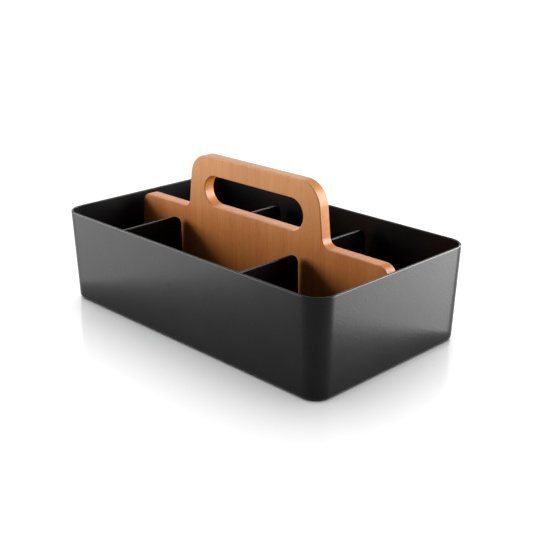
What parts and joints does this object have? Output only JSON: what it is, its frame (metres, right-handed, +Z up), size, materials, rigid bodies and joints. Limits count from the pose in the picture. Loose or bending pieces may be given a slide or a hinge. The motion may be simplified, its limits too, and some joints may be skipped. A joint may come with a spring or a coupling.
{
  "type": "divided utensil caddy",
  "caption": "Open-top utensil caddy: rectangular moulded tray, upright wooden board with a carrying slot down its middle, and sliding cross dividers.",
  "frame": {"origin": "under the middle of the tray, at the underside of the rubber feet", "axes": "+X along the long side towards the end that the dividers' feet point to, +Y from the front wall to the rear wall, +Z up"},
  "size_m": [0.325, 0.189, 0.141],
  "materials": {
    "tray_plastic": "satin charcoal black moulded plastic, very fine grain",
    "divider_plastic": "satin black moulded plastic",
    "board_wood": "oiled reddish brown hardwood, straight upright grain, eased edges",
    "screw_steel": "zinc plated",
    "foot_rubber": "matte black"
  },
  "bodies": {
    "caddy": {"tray": "tray_plastic", "handle_board": "board_wood", "board_screws": "screw_steel", "foot_front_left": "foot_rubber", "foot_front_right": "foot_rubber", "foot_rear_left": "foot_rubber", "foot_rear_right": "foot_rubber"},
    "divider_front_left": {"divider_front_left": "divider_plastic"},
    "divider_front_right": {"divider_front_right": "divider_plastic"},
    "divider_rear_left": {"divider_rear_left": "divider_plastic"},
    "divider_rear_right": {"divider_rear_right": "divider_plastic"}
  },
  "joints": [
    {"name": "slide_front_left", "type": "slide", "parent": "caddy", "child": "divider_front_left", "axis": [1, 0, 0], "range_m": [-0.05, 0.06]},
    {"name": "slide_front_right", "type": "slide", "parent": "caddy", "child": "divider_front_right", "axis": [1, 0, 0], "range_m": [-0.06, 0.064]},
    {"name": "slide_rear_left", "type": "slide", "parent": "caddy", "child": "divider_rear_left", "axis": [1, 0, 0], "range_m": [-0.091, 0.037]},
    {"name": "slide_rear_right", "type": "slide", "parent": "caddy", "child": "divider_rear_right", "axis": [1, 0, 0], "range_m": [-0.037, 0.068]}
  ]
}
